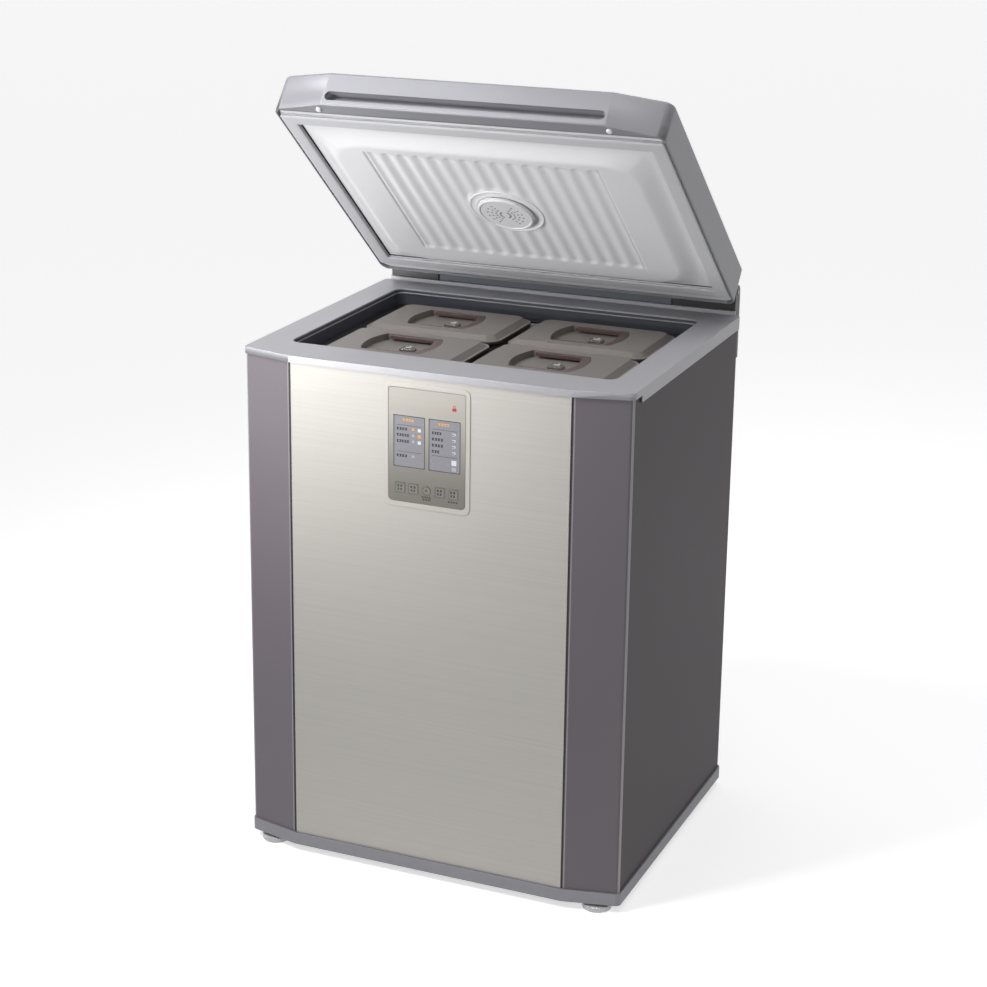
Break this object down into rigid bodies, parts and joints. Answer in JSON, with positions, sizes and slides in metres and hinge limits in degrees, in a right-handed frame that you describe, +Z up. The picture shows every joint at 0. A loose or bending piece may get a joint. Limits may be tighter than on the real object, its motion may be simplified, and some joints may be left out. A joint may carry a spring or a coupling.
{
  "type": "kimchi refrigerator",
  "caption": "Top-opening kimchi refrigerator with a hinged insulated lid, a front control panel, stacked lidded food containers and a rear cooling unit.",
  "frame": {"origin": "on the floor, at the middle of the footprint from the front of the rim to the back of the hinge cover", "axes": "+X to the right seen from the front, +Y towards the hinges, +Z up"},
  "size_m": [0.6, 0.533, 1.1683],
  "materials": {
    "base_plastic": "satin",
    "galvanised_steel": "satin",
    "side_sheet": "satin",
    "brushed_steel": "brushed",
    "corner_sheet": "satin",
    "foam": "matte",
    "tub_aluminium": "satin",
    "copper_tube": "satin",
    "rim_plastic": "satin",
    "black_plastic": "matte",
    "bezel_plastic": "satin",
    "control_plate": "gloss",
    "display_tint": "gloss",
    "board": "satin",
    "hinge_cover": "satin",
    "black_steel": "satin",
    "steel_pin": "satin",
    "compressor_shell": "gloss",
    "mount_rubber": "matte",
    "condenser_aluminium": "satin",
    "lid_plastic": "satin",
    "liner_plastic": "satin",
    "gasket_rubber": "matte",
    "bumper_plastic": "satin",
    "filter_plastic": "satin",
    "fan_plastic": "satin",
    "foot_zinc": "satin",
    "roller_plastic": "satin",
    "key_plastic": "gloss",
    "container_plastic": "satin",
    "container_cover": "satin",
    "handle_plastic": "gloss"
  },
  "bodies": {
    "cabinet": {"base_frame": "base_plastic", "floor_plate": "galvanised_steel", "cabinet_wrap": "side_sheet", "front_panel": "brushed_steel", "corner_strips": "corner_sheet", "insulation_foam": "foam", "inner_tub": "tub_aluminium", "evaporator_coil": "copper_tube", "top_frame": "rim_plastic", "tub_collar": "black_plastic", "control_bezel": "bezel_plastic", "control_plate": "control_plate", "display_windows": "display_tint", "control_board": "board", "hinge_cover": "hinge_cover", "hinge_brackets": "black_steel", "hinge_pins": "steel_pin", "hinge_springs": "steel_pin", "compressor": "compressor_shell", "compressor_mounts": "mount_rubber", "condenser": "condenser_aluminium", "fan_frame": "black_plastic", "refrigerant_pipes": "copper_tube", "machine_cover": "black_plastic", "terminal_box": "black_plastic", "cord_gland": "black_plastic", "roller_brackets": "galvanised_steel"},
    "lid": {"lid_shell": "lid_plastic", "lid_foam": "foam", "lid_liner": "liner_plastic", "lid_gasket": "gasket_rubber", "lid_bumpers": "bumper_plastic", "hinge_arms": "black_steel"},
    "filter_cap": {"filter_cap": "filter_plastic"},
    "key_1": {"key_1": "key_plastic"},
    "key_2": {"key_2": "key_plastic"},
    "key_3": {"key_3": "key_plastic"},
    "key_4": {"key_4": "key_plastic"},
    "key_5": {"key_5": "key_plastic"},
    "foot_left": {"foot_left": "foot_zinc"},
    "foot_right": {"foot_right": "foot_zinc"},
    "roller_left": {"roller_left": "roller_plastic"},
    "roller_right": {"roller_right": "roller_plastic"},
    "fan_blades": {"fan_blades": "fan_plastic"},
    "lower_front_left": {"lower_front_left": "container_plastic"},
    "box_front_left": {"box_front_left": "container_plastic"},
    "cover_front_left": {"cover_front_left": "container_cover"},
    "handle_front_left": {"handle_front_left": "handle_plastic"},
    "lower_front_right": {"lower_front_right": "container_plastic"},
    "box_front_right": {"box_front_right": "container_plastic"},
    "cover_front_right": {"cover_front_right": "container_cover"},
    "handle_front_right": {"handle_front_right": "handle_plastic"},
    "lower_rear_left": {"lower_rear_left": "container_plastic"},
    "box_rear_left": {"box_rear_left": "container_plastic"},
    "cover_rear_left": {"cover_rear_left": "container_cover"},
    "handle_rear_left": {"handle_rear_left": "handle_plastic"},
    "lower_rear_right": {"lower_rear_right": "container_plastic"},
    "box_rear_right": {"box_rear_right": "container_plastic"},
    "cover_rear_right": {"cover_rear_right": "container_cover"},
    "handle_rear_right": {"handle_rear_right": "handle_plastic"}
  },
  "joints": [
    {"name": "lid_hinge", "type": "hinge", "parent": "cabinet", "child": "lid", "pos_m": [0, 0.2515, 0.815], "axis": [-1, 0, 0], "range_deg": [-40, 35]},
    {"name": "filter_cap_twist", "type": "hinge", "parent": "lid", "child": "filter_cap", "pos_m": [0, 0.02004, 0.95765], "axis": [0, -0.6428, -0.766], "range_deg": [0, 45]},
    {"name": "key_1_press", "type": "slide", "parent": "cabinet", "child": "key_1", "axis": [0, 1, 0], "range_m": [0, 0.0008], "stiffness_N_per_m": 600, "springref_m": -0.0005},
    {"name": "key_2_press", "type": "slide", "parent": "cabinet", "child": "key_2", "axis": [0, 1, 0], "range_m": [0, 0.0008], "stiffness_N_per_m": 600, "springref_m": -0.0005},
    {"name": "key_3_press", "type": "slide", "parent": "cabinet", "child": "key_3", "axis": [0, 1, 0], "range_m": [0, 0.0008], "stiffness_N_per_m": 600, "springref_m": -0.0005},
    {"name": "key_4_press", "type": "slide", "parent": "cabinet", "child": "key_4", "axis": [0, 1, 0], "range_m": [0, 0.0008], "stiffness_N_per_m": 600, "springref_m": -0.0005},
    {"name": "key_5_press", "type": "slide", "parent": "cabinet", "child": "key_5", "axis": [0, 1, 0], "range_m": [0, 0.0008], "stiffness_N_per_m": 600, "springref_m": -0.0005},
    {"name": "foot_left_height", "type": "slide", "parent": "cabinet", "child": "foot_left", "axis": [0, 0, -1], "range_m": [0, 0.012]},
    {"name": "foot_right_height", "type": "slide", "parent": "cabinet", "child": "foot_right", "axis": [0, 0, -1], "range_m": [0, 0.012]},
    {"name": "roller_left_roll", "type": "hinge", "parent": "cabinet", "child": "roller_left", "pos_m": [-0.235, 0.1935, 0.014], "axis": [1, 0, 0], "continuous": true},
    {"name": "roller_right_roll", "type": "hinge", "parent": "cabinet", "child": "roller_right", "pos_m": [0.235, 0.1935, 0.014], "axis": [1, 0, 0], "continuous": true},
    {"name": "fan_spin", "type": "hinge", "parent": "cabinet", "child": "fan_blades", "pos_m": [-0.15, 0.1275, 0.0945], "axis": [1, 0, 0], "continuous": true},
    {"name": "lower_front_left_lift", "type": "slide", "parent": "cabinet", "child": "lower_front_left", "axis": [0, 0, 1], "range_m": [0, 0.15]},
    {"name": "box_front_left_lift", "type": "slide", "parent": "lower_front_left", "child": "box_front_left", "axis": [0, 0, 1], "range_m": [0, 0.15]},
    {"name": "cover_front_left_lift", "type": "slide", "parent": "box_front_left", "child": "cover_front_left", "axis": [0, 0, 1], "range_m": [0, 0.04]},
    {"name": "handle_front_left_fold", "type": "hinge", "parent": "cover_front_left", "child": "handle_front_left", "pos_m": [-0.1565, -0.087, 0.7645], "axis": [0, -1, 0], "range_deg": [0, 90]},
    {"name": "lower_front_right_lift", "type": "slide", "parent": "cabinet", "child": "lower_front_right", "axis": [0, 0, 1], "range_m": [0, 0.15]},
    {"name": "box_front_right_lift", "type": "slide", "parent": "lower_front_right", "child": "box_front_right", "axis": [0, 0, 1], "range_m": [0, 0.15]},
    {"name": "cover_front_right_lift", "type": "slide", "parent": "box_front_right", "child": "cover_front_right", "axis": [0, 0, 1], "range_m": [0, 0.04]},
    {"name": "handle_front_right_fold", "type": "hinge", "parent": "cover_front_right", "child": "handle_front_right", "pos_m": [0.0785, -0.087, 0.7645], "axis": [0, -1, 0], "range_deg": [0, 90]},
    {"name": "lower_rear_left_lift", "type": "slide", "parent": "cabinet", "child": "lower_rear_left", "axis": [0, 0, 1], "range_m": [0, 0.06]},
    {"name": "box_rear_left_lift", "type": "slide", "parent": "lower_rear_left", "child": "box_rear_left", "axis": [0, 0, 1], "range_m": [0, 0.06]},
    {"name": "cover_rear_left_lift", "type": "slide", "parent": "box_rear_left", "child": "cover_rear_left", "axis": [0, 0, 1], "range_m": [0, 0.04]},
    {"name": "handle_rear_left_fold", "type": "hinge", "parent": "cover_rear_left", "child": "handle_rear_left", "pos_m": [-0.1565, 0.078, 0.7645], "axis": [0, -1, 0], "range_deg": [0, 90]},
    {"name": "lower_rear_right_lift", "type": "slide", "parent": "cabinet", "child": "lower_rear_right", "axis": [0, 0, 1], "range_m": [0, 0.06]},
    {"name": "box_rear_right_lift", "type": "slide", "parent": "lower_rear_right", "child": "box_rear_right", "axis": [0, 0, 1], "range_m": [0, 0.06]},
    {"name": "cover_rear_right_lift", "type": "slide", "parent": "box_rear_right", "child": "cover_rear_right", "axis": [0, 0, 1], "range_m": [0, 0.04]},
    {"name": "handle_rear_right_fold", "type": "hinge", "parent": "cover_rear_right", "child": "handle_rear_right", "pos_m": [0.0785, 0.078, 0.7645], "axis": [0, -1, 0], "range_deg": [0, 90]}
  ]
}
